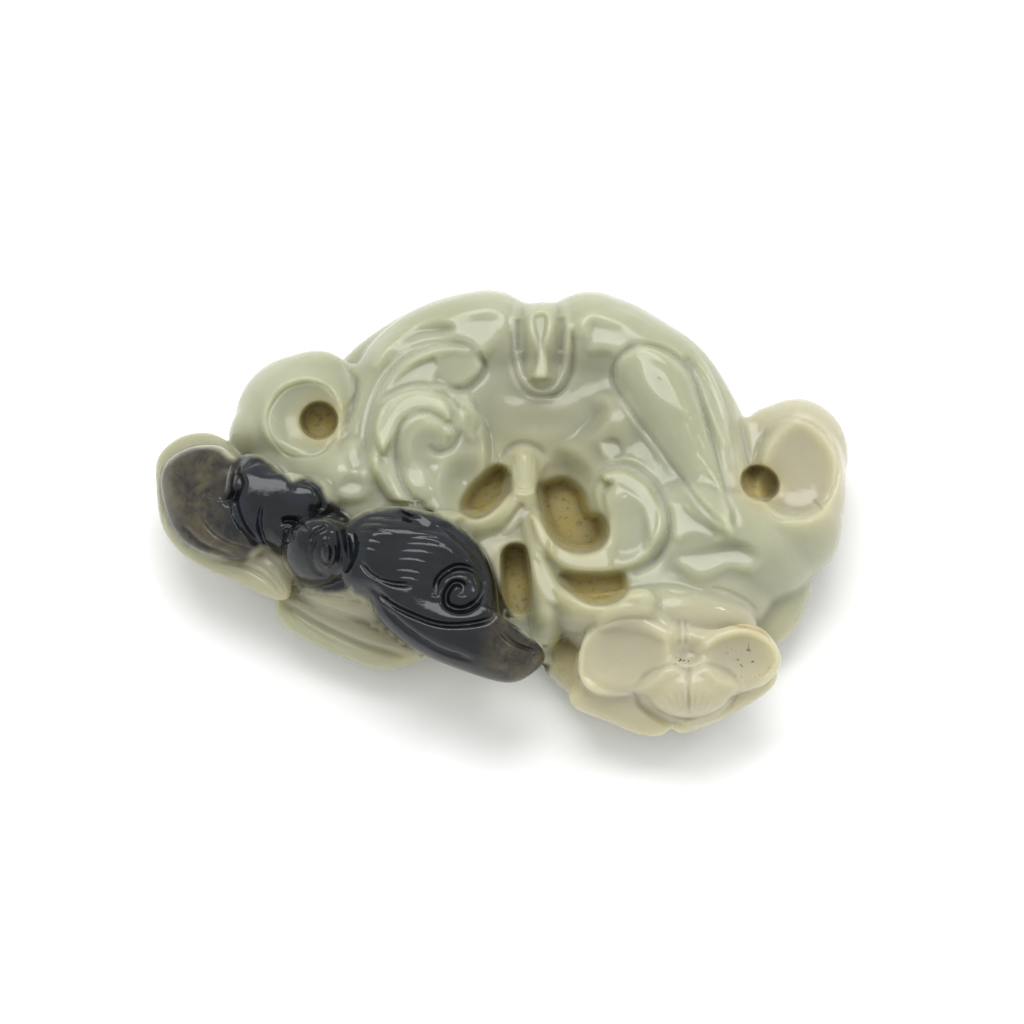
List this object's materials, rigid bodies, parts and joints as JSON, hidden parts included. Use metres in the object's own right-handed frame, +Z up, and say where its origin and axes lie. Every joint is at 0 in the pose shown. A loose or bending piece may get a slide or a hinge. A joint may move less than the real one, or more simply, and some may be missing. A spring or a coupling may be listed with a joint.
{
  "type": "jade carving",
  "caption": "Palm-sized jade pebble carved as a scrolled fungus head, with a dark bat, leaves and a flower at its near edge; lies on a table as an ornament.",
  "frame": {"origin": "under the middle of the bounding box, at the level of the flat resting face", "axes": "+X along the length, from the bat's wing tip to the far cup; +Y from the flower and the bat towards the rolled rim; +Z up, out of the carved show side"},
  "size_m": [0.07, 0.0474, 0.0177],
  "materials": {
    "jade": "polished, slightly translucent, with a dark blue-black skin on the bat"
  },
  "bodies": {
    "root": {"jade_carving": "jade"}
  },
  "joints": []
}
